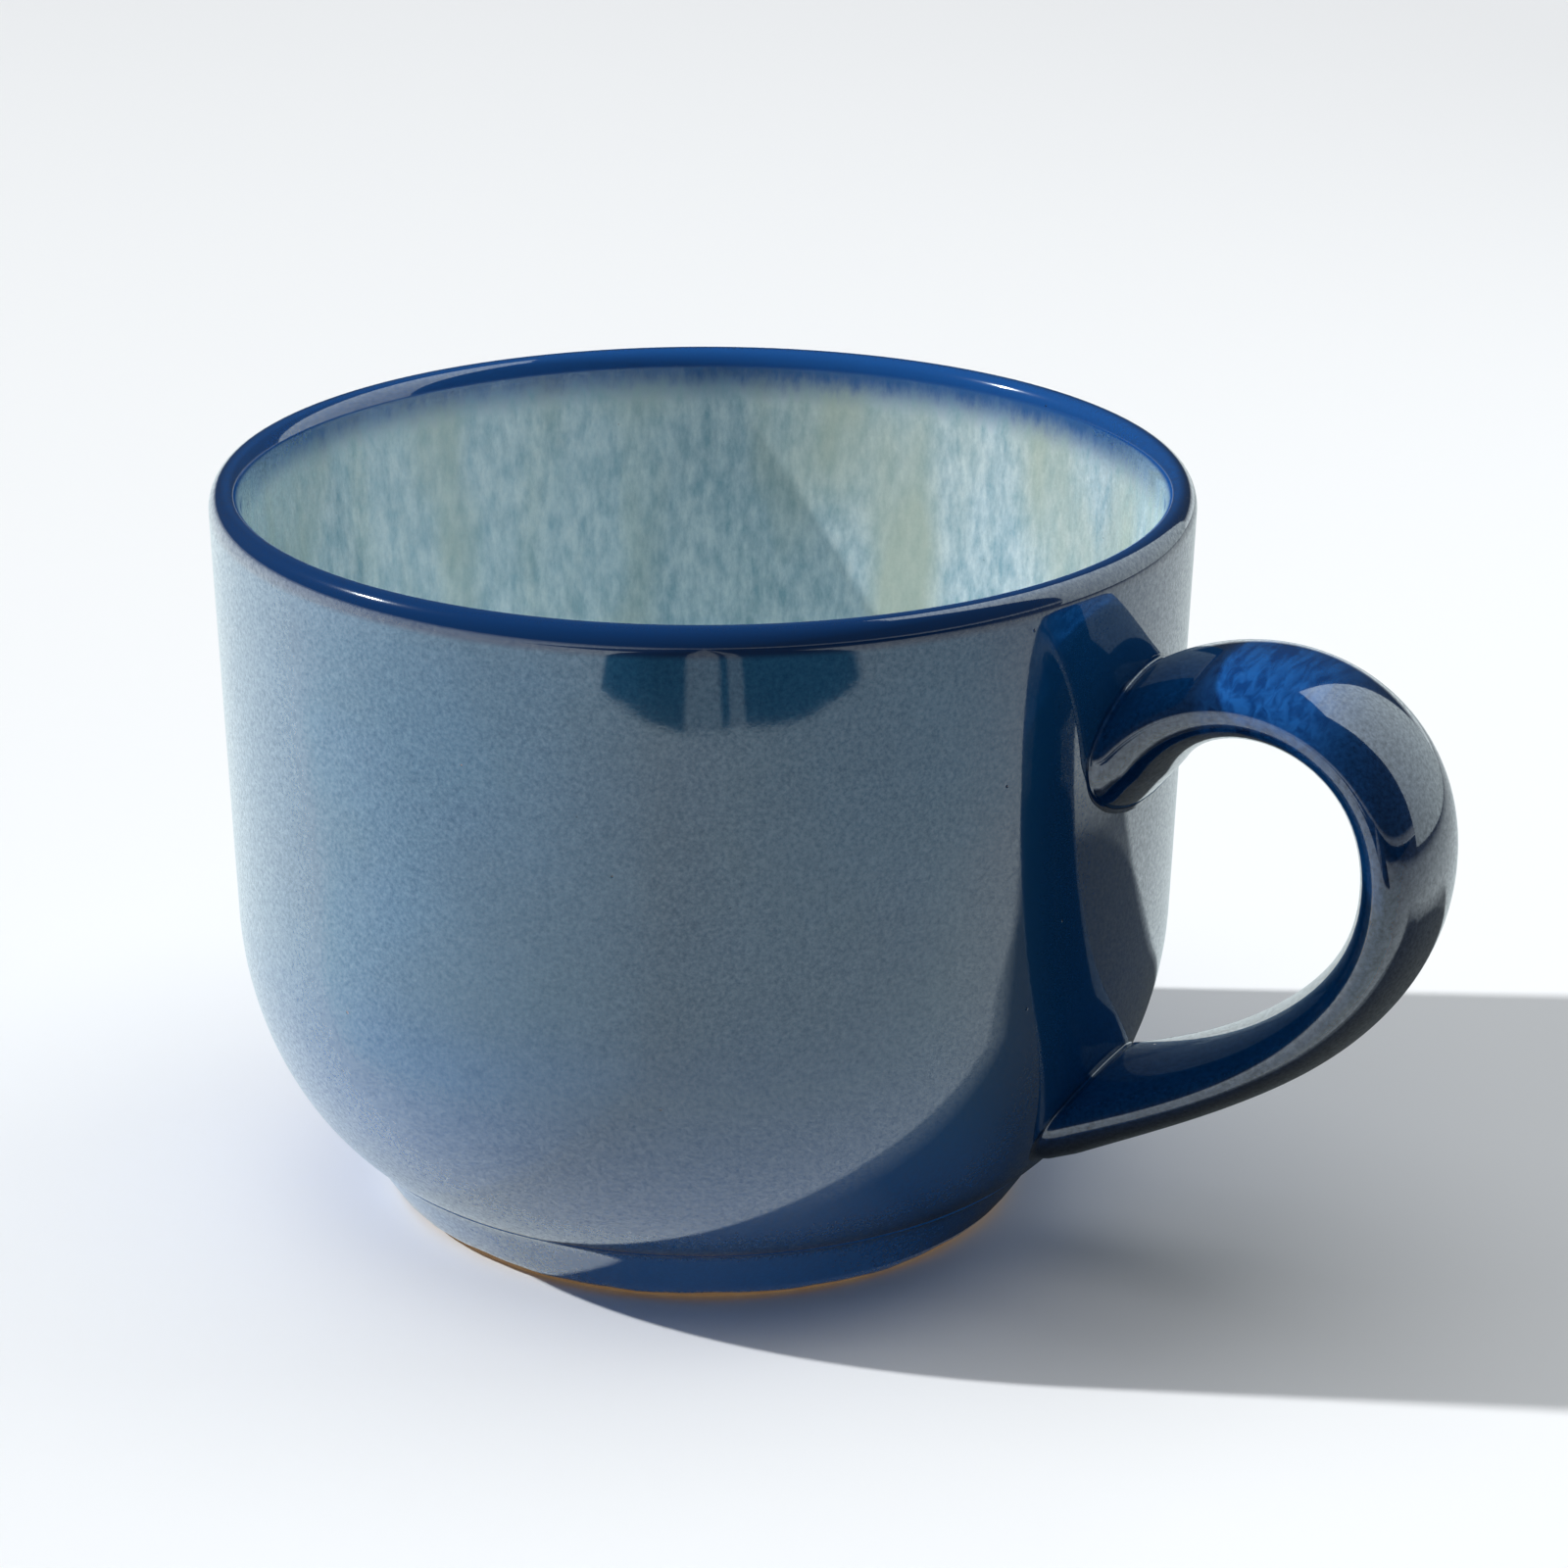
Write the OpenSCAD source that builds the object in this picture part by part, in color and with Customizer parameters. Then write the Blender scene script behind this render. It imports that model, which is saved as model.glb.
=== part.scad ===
// Soup mug: a wide jiggered stoneware bowl on a low tapered foot, with a cast ear handle
// stuck on with clay slip and a fired glaze skin over everything but the foot.
// Millimetres. The mug stands on Z = 0, its axis is Z, and the handle points along +X.

/* [Bowl] */

// Widest diameter of the finished mug, at the lip
rim_d = 120; // [100:1:140]
// Height of the finished mug
mug_h = 92.0; // [80:0.1:110]
// Height of the rolled lip above the neck of the wall
lip_h = 8.4; // [5:0.1:12]
// How far the lip stands out from the neck
lip_proud = 0.3; // [0.2:0.1:1.6]
// Height of the rounded top of the lip
lip_round_h = 2.2; // [1.2:0.1:3.2]
// Thickness of the clay at the lip
lip_t = 3.0; // [2.2:0.1:4.5]
// How much the outer radius draws in from the neck down to the shoulder
wall_lean = 1.4; // [0:0.1:5]
// Height of the shoulder, where the straight wall starts to curve in
shoulder_h = 37.8; // [32:0.1:46]
// Angle through which the belly turns from the shoulder to the foot
belly_turn = 60; // [45:1:75]
// Thickness of the clay wall at the shoulder
wall_t = 4.6; // [3:0.1:7]
// Thickness of the clay floor
floor_t = 6.0; // [4:0.1:9]
// Diameter of the flat part of the floor inside
floor_flat_d = 50; // [20:1:64]

/* [Foot] */

// Diameter of the foot where it meets the table
foot_d = 78.8; // [66:0.1:84]
// Diameter of the crease between foot and belly
crease_d = 90.0; // [86:0.1:98]
// Height of the foot, from the table to the crease
foot_h = 8.5; // [5:0.1:12]
// Width of the ground ring that the mug stands on
foot_land_w = 4.0; // [2.5:0.1:7]
// Chamfer along the outer edge of the foot
foot_chamfer = 0.5; // [0.2:0.1:0.8]
// Depth of the recess under the floor
recess_h = 3.5; // [2:0.1:5]
// How far the side of the recess leans in towards the floor
recess_lean = 2.0; // [0.5:0.1:5]
// Height of the bare clay left below the glaze
bare_h = 1.1; // [0.9:0.1:1.8]

/* [Handle] */

// How far the middle of the handle reaches past the lip
handle_reach = 32.8; // [28:0.1:40]
// Drop from the rim to where the handle leaves the wall
upper_root_drop = 23.2; // [19:0.1:25]
// Height at which the handle meets the belly again
lower_root_h = 20.1; // [18.5:0.1:26]
// Drop from the rim to the outermost point of the handle
bow_drop = 34.4; // [27:0.1:38]
// Angle at which the handle rises from the wall
upper_rise = 51.5; // [25:0.5:58]
// Angle at which the handle leaves the belly
lower_rise = 23.0; // [8:0.5:28]
// Thickness of the handle in its upper half
strap_upper_t = 9.6; // [8:0.1:12]
// Thickness of the handle in its lower half
strap_lower_t = 6.5; // [6:0.1:11]
// Width of the handle in its upper half
strap_upper_w = 19.8; // [15:0.1:22]
// Width of the handle in its lower half
strap_lower_w = 19.3; // [15:0.1:23]
// Extra thickness of the handle where it spreads onto the wall
upper_flare_t = 1.4; // [0:0.1:4]
// Extra width of the handle where it spreads onto the wall
upper_flare_w = 4.4; // [0:0.1:6]
// Extra thickness of the handle where it spreads onto the belly
lower_flare_t = 3.2; // [0:0.1:4]
// Extra width of the handle where it spreads onto the belly
lower_flare_w = 3.8; // [0:0.1:7]
// Length over which the upper end of the handle spreads
upper_flare_l = 17; // [8:0.5:22]
// Length over which the lower end of the handle spreads
lower_flare_l = 28; // [8:0.5:32]

/* [Slip joints] */

// Thickness of the slip that holds each end of the handle to the bowl
slip_t = 0.9; // [0.5:0.1:1.5]
// Width of the bead of slip around each end of the handle
slip_bead_w = 1.3; // [0.6:0.1:1.6]

/* [Glaze] */

// Thickness of the fired glaze
glaze_t = 0.5; // [0.3:0.05:0.8]
// Depth of the dark glaze band inside the lip
rim_band_h = 8.5; // [6:0.1:14]

/* [Hidden] */

// Smoothness of the turned surfaces in the preview
$fn = 180;
// Straight pieces along the belly, the lip and the floor curve
belly_steps = 14;
lip_side_steps = 6;
lip_top_steps = 12;
floor_steps = 14;
// Points around the handle, rings along it, and rings across each of its end faces
handle_sides = 24;
handle_rings = 40;
face_rings = 4;
// Steps up the bead of slip
bead_steps = 4;
// Halvings in the search for where the handle meets the wall
search_steps = 18;
// Share of the handle's length over which its end rings turn to lie on the wall
end_turn_share = 0.42;
// How far the search for the wall goes past each end, as a share of one curve of the handle
search_in_share = 0.5;
search_out_share = 0.6;
// How strongly the handle's two curves are pulled along their end tangents,
// as shares of the height between the handle's two ends
upper_pull_share = 0.367;
bow_upper_pull_share = 0.408;
bow_lower_pull_share = 0.458;
lower_pull_share = 0.249;

// The clay under the glaze
lip_r = rim_d/2 - glaze_t;
lip_top_z = mug_h - glaze_t;
lip_wide_z = lip_top_z - lip_round_h;
neck_r = lip_r - lip_proud;
neck_z = mug_h - lip_h;
shoulder_r = neck_r - wall_lean;
crease_r = crease_d/2 - glaze_t;
foot_r = foot_d/2;
land_r = foot_r - foot_land_w;
recess_r = land_r - recess_lean;
floor_z = recess_h + floor_t;
lip_inner_r = lip_r - lip_t;
shoulder_inner_r = shoulder_r - wall_t;
floor_flat_r = floor_flat_d/2;
band_z = mug_h - rim_band_h;

// Outer radius of the straight wall, carried on below the shoulder
function lean_r(z) = neck_r - wall_lean*(neck_z - z)/(neck_z - shoulder_h);

// Half axes of the ellipse that the belly follows from the shoulder to the crease
belly_b = (shoulder_h - foot_h)/sin(belly_turn);
belly_a = (lean_r(foot_h) - crease_r)/(1 - cos(belly_turn));
function belly_z(turn) = shoulder_h - belly_b*sin(turn);
function belly_r(turn) = lean_r(belly_z(turn)) - belly_a*(1 - cos(turn));

// Point at height z on the straight line between two points of the outline
function on_line(p, q, z) = [p.x + (q.x - p.x)*(z - p.y)/(q.y - p.y), z];

// The outline of the clay as [radius, height], in runs that follow each other
foot_edge = [foot_r, foot_chamfer];
crease = [crease_r, foot_h];
bare_line = on_line(foot_edge, crease, bare_h);
belly_run = [for (i = [belly_steps:-1:0])
    let (turn = belly_turn*i/belly_steps) [belly_r(turn), belly_z(turn)]];
lip_side_run = [for (i = [0:lip_side_steps])
    let (share = i/lip_side_steps)
    [neck_r + lip_proud*(1 - cos(180*share))/2, neck_z + (lip_wide_z - neck_z)*share]];
lip_top_run = [for (i = [1:lip_top_steps])
    let (turn = 180*i/lip_top_steps)
    [lip_r - lip_t/2 + lip_t/2*cos(turn), lip_wide_z + lip_round_h*sin(turn)]];
band_point = on_line([lip_inner_r, lip_wide_z], [shoulder_inner_r, shoulder_h], band_z);
floor_run = [for (i = [0:floor_steps])
    let (turn = 90*i/floor_steps)
    [floor_flat_r + (shoulder_inner_r - floor_flat_r)*cos(turn),
     shoulder_h - (shoulder_h - floor_z)*sin(turn)]];

outside_run = concat([bare_line], belly_run, [lip_side_run[0]]);
rim_run = concat(lip_side_run, lip_top_run, [band_point]);
inside_run = concat([band_point], floor_run, [[0, floor_z]]);
base_run = [[0, recess_h], [recess_r, recess_h],
            on_line([recess_r, recess_h], [land_r, 0], bare_h)];

// Unit normal at point i, to the right of the way the run goes, which is out of the clay.
// The points before and after stand beyond the two ends of the run.
function unit(v) = v/norm(v);
function run_normal(run, i, before, after) =
    let (p = i == 0 ? before : run[i - 1],
         q = i == len(run) - 1 ? after : run[i + 1],
         along = unit(unit(run[i] - p) + unit(q - run[i])))
    [along.y, -along.x];
function lifted(run, before, after, t) =
    [for (i = [0:len(run) - 1]) run[i] + t*run_normal(run, i, before, after)];

// A point that carries a run on past its end in a straight line
function past(p, q) = q + (q - p);

outside_before = foot_edge;
outside_after = lip_side_run[1];
outside_skin = lifted(outside_run, outside_before, outside_after, glaze_t);
rim_before = belly_run[belly_steps];
rim_after = floor_run[0];
rim_skin = lifted(rim_run, rim_before, rim_after, glaze_t);
inside_before = lip_top_run[lip_top_steps - 1];
inside_after = [-floor_flat_r, floor_z];
inside_skin = lifted(inside_run, inside_before, inside_after, glaze_t);
base_before = [-recess_r, recess_h];
base_after = past(base_run[1], base_run[2]);
base_skin = lifted(base_run, base_before, base_after, glaze_t);

// The wall's radius at a height, lifted h along its normal, read off the same outline
clay_table = [for (p = outside_run) [p.y, p.x]];
skin_table = [for (p = outside_skin) [p.y, p.x]];
function wall_r(z, h) =
    lookup(z, clay_table) + (lookup(z, skin_table) - lookup(z, clay_table))*h/glaze_t;
function on_wall(y, z, h) = [sqrt(pow(wall_r(z, h), 2) - y*y), y, z];

// The middle line of the handle, in the XZ plane: one curve from the wall out to the
// bow, t = 0 to 1, and one back in to the belly, t = 1 to 2, both carried on straight
upper_root_z = mug_h - upper_root_drop;
bow_z = mug_h - bow_drop;
bow_x = rim_d/2 + handle_reach;
handle_span = upper_root_z - lower_root_h;
upper_root = [wall_r(upper_root_z, 0), upper_root_z];
lower_root = [wall_r(lower_root_h, 0), lower_root_h];
bow = [bow_x, bow_z];
upper_curve = [upper_root,
               upper_root + upper_pull_share*handle_span*[cos(upper_rise), sin(upper_rise)],
               bow + [0, bow_upper_pull_share*handle_span],
               bow];
lower_curve = [bow,
               bow - [0, bow_lower_pull_share*handle_span],
               lower_root + lower_pull_share*handle_span*[cos(lower_rise), sin(lower_rise)],
               lower_root];
function curve_at(c, t) = pow(1 - t, 3)*c[0] + 3*pow(1 - t, 2)*t*c[1]
                          + 3*(1 - t)*t*t*c[2] + pow(t, 3)*c[3];
function curve_slope(c, t) = 3*pow(1 - t, 2)*(c[1] - c[0]) + 6*(1 - t)*t*(c[2] - c[1])
                             + 3*t*t*(c[3] - c[2]);
function line_at(t) =
    t < 0 ? upper_root + t*curve_slope(upper_curve, 0)
    : t <= 1 ? curve_at(upper_curve, t)
    : t <= 2 ? curve_at(lower_curve, t - 1)
    : lower_root + (t - 2)*curve_slope(lower_curve, 1);
function line_slope(t) =
    t <= 1 ? curve_slope(upper_curve, max(t, 0)) : curve_slope(lower_curve, min(t - 1, 1));

// How much of the flare is left at a distance d from the root: all at 0, none at length
function flare_share(d, length) = pow(max(0, 1 - d/length), 2);
function upper_share(t) = t < 0 ? 1 : flare_share(norm(line_at(t) - upper_root), upper_flare_l);
function lower_share(t) = t > 2 ? 1 : flare_share(norm(line_at(t) - lower_root), lower_flare_l);
function blend(a, b, t) = a + (b - a)*min(max(t, 0), 2)/2;
function half_t(t) = (blend(strap_upper_t, strap_lower_t, t)
                      + upper_flare_t*upper_share(t) + lower_flare_t*lower_share(t))/2;
function half_w(t) = (blend(strap_upper_w, strap_lower_w, t)
                      + upper_flare_w*upper_share(t) + lower_flare_w*lower_share(t))/2;

// Point on the handle's surface: angle is 0 on its outer side, grow lifts it outwards
function strap_point(t, angle, grow) =
    let (c = line_at(t), along = unit(line_slope(t)),
         lift = (half_t(t) + grow)*cos(angle))
    [c.x - along.y*lift, (half_w(t) + grow)*sin(angle), c.y + along.x*lift];

// Value of t at which a line along the handle's surface reaches the slip's outer face
function above_wall(p) = norm([p.x, p.y]) - wall_r(p.z, slip_t);
function find_wall(angle, inside_t, outside_t, steps) =
    let (mid = (inside_t + outside_t)/2)
    steps == 0 ? mid
    : above_wall(strap_point(mid, angle, 0)) < 0 ? find_wall(angle, mid, outside_t, steps - 1)
    : find_wall(angle, inside_t, mid, steps - 1);
angles = [for (j = [0:handle_sides - 1]) 360*j/handle_sides];
upper_ends = [for (a = angles) find_wall(a, -search_in_share, search_out_share, search_steps)];
lower_ends = [for (a = angles)
    find_wall(a, 2 + search_in_share, 2 - search_out_share, search_steps)];

// Rings of points around the handle, which turn at each end to lie on the wall
function turn_share(u) = pow(max(0, 1 - u/end_turn_share), 2);
function strap_ring(k, grow) =
    let (u = k/handle_rings)
    [for (j = [0:handle_sides - 1])
        let (t = 2*u + upper_ends[j]*turn_share(u) + (lower_ends[j] - 2)*turn_share(1 - u))
        strap_point(t, angles[j], grow)];
upper_end_ring = strap_ring(0, 0);
lower_end_ring = strap_ring(handle_rings, 0);

// The same ring moved over the wall: scaled by share about its middle, spread outwards
// by a width, and lifted h off the clay
function ring_middle(ring) =
    let (all = [for (p = ring) [p.y, p.z]]) (max_corner(all) + min_corner(all))/2;
function max_corner(list) = [max([for (p = list) p.x]), max([for (p = list) p.y])];
function min_corner(list) = [min([for (p = list) p.x]), min([for (p = list) p.y])];
function wall_ring(ring, share, spread, h) =
    let (m = ring_middle(ring))
    [for (p = ring)
        let (away = [p.y, p.z] - m, q = m + share*away + spread*unit(away))
        on_wall(q.x, q.y, h)];

// Rings across an end face, from its edge to its middle, lying on the wall
function face_of(ring, spread, h) =
    [for (k = [1:face_rings]) wall_ring(wall_ring(ring, 1, spread, h), 1 - k/face_rings, 0, h)];

// Rings up the hollow curve of the bead, from the wall to the handle, lifted by glaze
function bead_rings(ring, glaze) =
    [for (k = [0:bead_steps])
        let (share = k/bead_steps)
        wall_ring(ring, 1,
                  slip_bead_w*pow(1 - share, 2) + glaze*sin(90*share),
                  slip_t*share*share + glaze*cos(90*share))];

function turned_back(list) = [for (i = [len(list) - 1:-1:0]) list[i]];

// A closed skin over rings of equal length. A loop joins its last ring to its first;
// otherwise the first and the last ring have shrunk to a point and need no face.
module skin(rings, loop) {
    sides = len(rings[0]);
    count = len(rings);
    last = loop ? count - 1 : count - 2;
    points = [for (ring = rings) for (p = ring) p];
    faces = [for (k = [0:last]) for (j = [0:sides - 1])
        let (a = k*sides + j, b = k*sides + (j + 1)%sides,
             c = ((k + 1)%count)*sides + (j + 1)%sides, d = ((k + 1)%count)*sides + j)
        each [[a, b, c], [a, c, d]]];
    polyhedron(points = points, faces = faces, convexity = 6);
}

// A turned piece between two runs of the outline
module turned_between(run, back) {
    rotate([0, 0, 180])
        rotate_extrude()
            polygon(concat(run, turned_back(back)));
}

// The space that one slip joint takes in the glaze on the wall
module joint_window(ring) {
    outline = [for (p = wall_ring(ring, 1, slip_bead_w, 0)) [p.y, p.z]];
    rotate([90, 0, 90])
        linear_extrude(height = bow_x)
            polygon(outline);
}

// Stoneware bowl: wall, floor and foot in one piece of clay
module stoneware_bowl() {
    color("tan")
        rotate([0, 0, 180])
            rotate_extrude()
                polygon(concat([[foot_r - foot_chamfer, 0], foot_edge], outside_run,
                               [for (i = [1:len(rim_run) - 1]) rim_run[i]],
                               [for (i = [1:len(inside_run) - 1]) inside_run[i]],
                               [[0, recess_h], [recess_r, recess_h], [land_r, 0]]));
}

// Cast clay handle, an oval strap that spreads onto the wall at both ends
module stoneware_handle() {
    strap = [for (k = [0:handle_rings]) strap_ring(k, 0)];
    color("burlywood")
        skin(concat(turned_back(face_of(upper_end_ring, 0, slip_t)), strap,
                    face_of(lower_end_ring, 0, slip_t)), false);
}

// Slip between one end of the handle and the bowl, squeezed out into a small bead
module slip_joint(ring) {
    color("peru")
        skin(concat(turned_back(face_of(ring, slip_bead_w, 0)), bead_rings(ring, 0),
                    face_of(ring, 0, slip_t)), false);
}

// The lower joint's rings run the other way round its axis, so it is built back to front
module slip_joint_back(ring) {
    color("peru")
        skin(turned_back(concat(turned_back(face_of(ring, slip_bead_w, 0)),
                                bead_rings(ring, 0), face_of(ring, 0, slip_t))), false);
}

module upper_slip_joint() { slip_joint(upper_end_ring); }
module lower_slip_joint() { slip_joint_back(lower_end_ring); }

// Dark glaze on the outside, from the bare line on the foot up to the neck
module outside_glaze() {
    color("midnightblue")
        difference() {
            turned_between(outside_run, outside_skin);
            joint_window(upper_end_ring);
            joint_window(lower_end_ring);
        }
}

// Dark glaze over the handle and over the beads of slip at its ends
module handle_glaze() {
    outer = concat(bead_rings(upper_end_ring, glaze_t),
                   [for (k = [1:handle_rings - 1]) strap_ring(k, glaze_t)],
                   turned_back(bead_rings(lower_end_ring, glaze_t)));
    inner = concat(bead_rings(upper_end_ring, 0),
                   [for (k = [1:handle_rings - 1]) strap_ring(k, 0)],
                   turned_back(bead_rings(lower_end_ring, 0)));
    color("navy")
        skin(concat(outer, turned_back(inner)), true);
}

// Blue glaze over the lip and the first part of the inside
module rim_glaze() {
    color("mediumblue")
        turned_between(rim_run, rim_skin);
}

// Pale streaked glaze down the inside and across the floor
module inside_glaze() {
    color("lightsteelblue")
        turned_between(inside_run, inside_skin);
}

// Dark glaze in the recess under the floor
module base_glaze() {
    color("darkslateblue")
        turned_between(base_run, base_skin);
}

stoneware_bowl();
stoneware_handle();
upper_slip_joint();
lower_slip_joint();
outside_glaze();
handle_glaze();
rim_glaze();
inside_glaze();
base_glaze();
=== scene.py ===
from math import atan2, cos, hypot, pi, radians, sin, sqrt

import bmesh
import bpy
from mathutils import Matrix, Vector


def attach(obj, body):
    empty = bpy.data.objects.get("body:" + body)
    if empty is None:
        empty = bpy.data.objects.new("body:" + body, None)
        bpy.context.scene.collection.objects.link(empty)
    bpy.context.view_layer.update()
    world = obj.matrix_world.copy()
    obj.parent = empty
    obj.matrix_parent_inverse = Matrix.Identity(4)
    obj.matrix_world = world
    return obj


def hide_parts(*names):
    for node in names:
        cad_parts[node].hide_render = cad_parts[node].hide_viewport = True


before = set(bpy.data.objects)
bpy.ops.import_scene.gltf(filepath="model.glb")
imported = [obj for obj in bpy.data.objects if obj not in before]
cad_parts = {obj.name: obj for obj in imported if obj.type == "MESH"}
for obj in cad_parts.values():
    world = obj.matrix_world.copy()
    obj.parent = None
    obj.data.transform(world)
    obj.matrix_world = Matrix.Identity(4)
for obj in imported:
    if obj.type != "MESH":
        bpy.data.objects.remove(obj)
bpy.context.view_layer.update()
collection = bpy.context.scene.collection


# Stoneware bowl. Wall, floor and tapered foot are turned from one piece of buff clay.
# Fired under its glaze, it stays bare only on the ground ring that it stands on and on
# the narrow line just above, where the glaze was wiped back.
mm = 0.001
mug_h = 92.0
glaze_t = 0.5
lip_r, lip_round_h, lip_t, neck_r = 59.37, 2.2, 2.87, 59.2
lip_wide_z = mug_h - glaze_t - lip_round_h
neck_z = mug_h - 8.4
wall_lean, wall_t = 1.4, 4.6
shoulder_z = 37.8
shoulder_inner_r = neck_r - wall_lean - wall_t
belly_turn = radians(60)
crease_r, crease_z = 44.5, 8.5
crease_soft = 1.6
foot_r, foot_chamfer = 39.4, 0.5
land_r = foot_r - 4.0
recess_r, recess_h = land_r - 2.0, 3.5
bare_h = 1.1
floor_z, floor_flat_r = recess_h + 6.0, 25.0
band_z = mug_h - 8.5
recess_round, land_round, ground_round, ground_flat = 1.0, 1.2, 0.2, 1.0
turn_steps, corner_steps, belly_steps, wall_steps = 144, 8, 56, 28
lean_steps, lip_steps, band_steps = 16, 40, 6
inner_wall_steps, floor_curve_steps, floor_steps = 28, 48, 10
recess_steps, recess_corner_steps = 12, 10
merge_gap, sharp_turn = 0.002 * mm, radians(50)
clay_pale, clay_dark, clay_grain = (206, 166, 118), (176, 128, 82), 2600


def lean_r(z):
    return neck_r - wall_lean * (neck_z - z) / (neck_z - shoulder_z)


belly_b = (shoulder_z - crease_z) / sin(belly_turn)
belly_a = (lean_r(crease_z) - crease_r) / (1 - cos(belly_turn))


def belly_point(turn):
    z = shoulder_z - belly_b * sin(turn)
    return Vector((lean_r(z) - belly_a * (1 - cos(turn)), z))


def line_points(start, end, shares):
    return [start.lerp(end, share) for share in shares]


def rounded_corner(start, corner, end, steps):
    return [start.lerp(corner, i / steps).lerp(corner.lerp(end, i / steps), i / steps)
            for i in range(steps + 1)]


def evenly(count):
    return [i / count for i in range(count + 1)]


foot_edge = Vector((foot_r, foot_chamfer))
crease = Vector((crease_r, crease_z))
bare_line = foot_edge.lerp(crease, (bare_h - foot_chamfer) / (crease_z - foot_chamfer))
flank_end = crease.lerp(foot_edge, crease_soft / (crease - foot_edge).length)
belly_start_turn = belly_turn - crease_soft / hypot(belly_a, belly_b)
flank_shares = [0, 0.008, 0.025, 0.05, 0.085, 0.13, 0.2, 0.35, 0.5, 0.65, 0.8, 0.9, 1]

outside_clay = line_points(bare_line, flank_end, flank_shares)
outside_clay += rounded_corner(flank_end, crease, belly_point(belly_start_turn),
                               corner_steps)[1:]
outside_clay += [belly_point(belly_start_turn * (1 - share))
                 for share in evenly(belly_steps)[1:]]
outside_clay += line_points(Vector((lean_r(shoulder_z), shoulder_z)),
                            Vector((neck_r, neck_z)), evenly(wall_steps)[1:])
lip_clay = line_points(Vector((neck_r, neck_z)), Vector((lip_r, lip_wide_z)),
                       evenly(lean_steps))
lip_clay += [Vector((lip_r - lip_t / 2 + lip_t / 2 * cos(pi * share),
                     lip_wide_z + lip_round_h * sin(pi * share)))
             for share in evenly(lip_steps)[1:]]
band_share = (lip_wide_z - band_z) / (lip_wide_z - shoulder_z)
lip_inner = lip_clay[-1].copy()
shoulder_inner = Vector((shoulder_inner_r, shoulder_z))
band_point = lip_inner.lerp(shoulder_inner, band_share)
lip_clay += line_points(lip_inner, band_point, evenly(band_steps)[1:])
inside_clay = line_points(band_point, shoulder_inner, evenly(inner_wall_steps))
inside_clay += [
    Vector((floor_flat_r + (shoulder_inner_r - floor_flat_r) * cos(pi / 2 * share),
            shoulder_z - (shoulder_z - floor_z) * sin(pi / 2 * share)))
    for share in evenly(floor_curve_steps)[1:]]
inside_clay += line_points(Vector((floor_flat_r, floor_z)), Vector((0, floor_z)),
                           evenly(floor_steps)[1:])
recess_corner = Vector((recess_r, recess_h))
recess_start = Vector((recess_r - recess_round, recess_h))
base_end = recess_corner.lerp(Vector((land_r, 0)), 1 - bare_h / recess_h)
base_clay = line_points(Vector((0, recess_h)), recess_start, evenly(recess_steps))
base_clay += rounded_corner(recess_start, recess_corner, base_end,
                            recess_corner_steps)[1:]


def turned_mesh(outline, loop=True):
    """Spin (radius, height) points in millimetres about the mug's axis."""
    bm = bmesh.new()
    row = [bm.verts.new((-p.x * mm, 0, p.y * mm)) for p in outline]
    for a, b in zip(row, row[1:] + row[:1] if loop else row[1:]):
        bm.edges.new((a, b))
    bmesh.ops.spin(bm, geom=bm.verts[:] + bm.edges[:], cent=(0, 0, 0), axis=(0, 0, 1),
                   angle=2 * pi, steps=turn_steps, use_merge=True)
    bmesh.ops.remove_doubles(bm, verts=bm.verts[:], dist=merge_gap)
    bmesh.ops.recalc_face_normals(bm, faces=bm.faces[:])
    return bm


def finish_piece(name, bm):
    """Smooth faces, edges that turn sharply kept crisp, one object at the origin."""
    for face in bm.faces:
        face.smooth = True
    for edge in bm.edges:
        edge.smooth = edge.calc_face_angle(0) < sharp_turn
    mesh = bpy.data.meshes.new(name)
    bm.to_mesh(mesh)
    bm.free()
    piece = bpy.data.objects.new(name, mesh)
    collection.objects.link(piece)
    return piece


bowl_outline = rounded_corner(Vector((land_r + land_round, 0)), Vector((land_r, 0)),
                              base_end, corner_steps)[::-1]
bowl_outline += rounded_corner(Vector((foot_r - ground_flat, 0)),
                               Vector((foot_r - ground_round, 0)), foot_edge, corner_steps)
bowl_outline += outside_clay + lip_clay[1:] + inside_clay[1:] + base_clay[:-1]
bowl_piece = finish_piece("turned_bowl", turned_mesh(bowl_outline))


def node_maker(tree):
    """Clear a node tree, and give a function that adds a node and links its inputs."""
    tree.nodes.clear()

    def add(kind, inputs=None, **settings):
        node = tree.nodes.new("ShaderNode" + kind)
        for key, value in settings.items():
            setattr(node, key, value)
        for key, value in (inputs or {}).items():
            if isinstance(value, bpy.types.NodeSocket):
                tree.links.new(value, node.inputs[key])
            else:
                node.inputs[key].default_value = value
        return node

    return add


def shader_tree(name):
    material = bpy.data.materials.new(name)
    material.use_nodes = True
    return material, node_maker(material.node_tree)


def linear(red, green, blue):
    """An sRGB colour from 0 to 255 as the linear RGBA that shaders take."""
    return tuple(c / 12.92 if c <= 0.04045 else ((c + 0.055) / 1.055) ** 2.4
                 for c in (red / 255, green / 255, blue / 255)) + (1,)


def step(add, value, ends, levels=(0.0, 1.0), soft=False):
    """From one level to the other as a value goes from one end to the other."""
    return add("MapRange", {"Value": value, "From Min": ends[0], "From Max": ends[1],
                            "To Min": levels[0], "To Max": levels[1]},
               interpolation_type="SMOOTHSTEP" if soft else "LINEAR").outputs[0]


def blend(add, share, under, over):
    return add("Mix", {"Factor": share, 6: under, 7: over}, data_type="RGBA").outputs[2]


def noise(add, place, scale, detail=2, **more):
    inputs = {"Vector": place, "Scale": scale, "Detail": detail, **more}
    return add("TexNoise", inputs).outputs["Fac"]


def bump(add, height, depth, strength=1.0, **under):
    inputs = {"Height": height, "Strength": strength, "Distance": depth, **under}
    return add("Bump", inputs).outputs[0]


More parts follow.
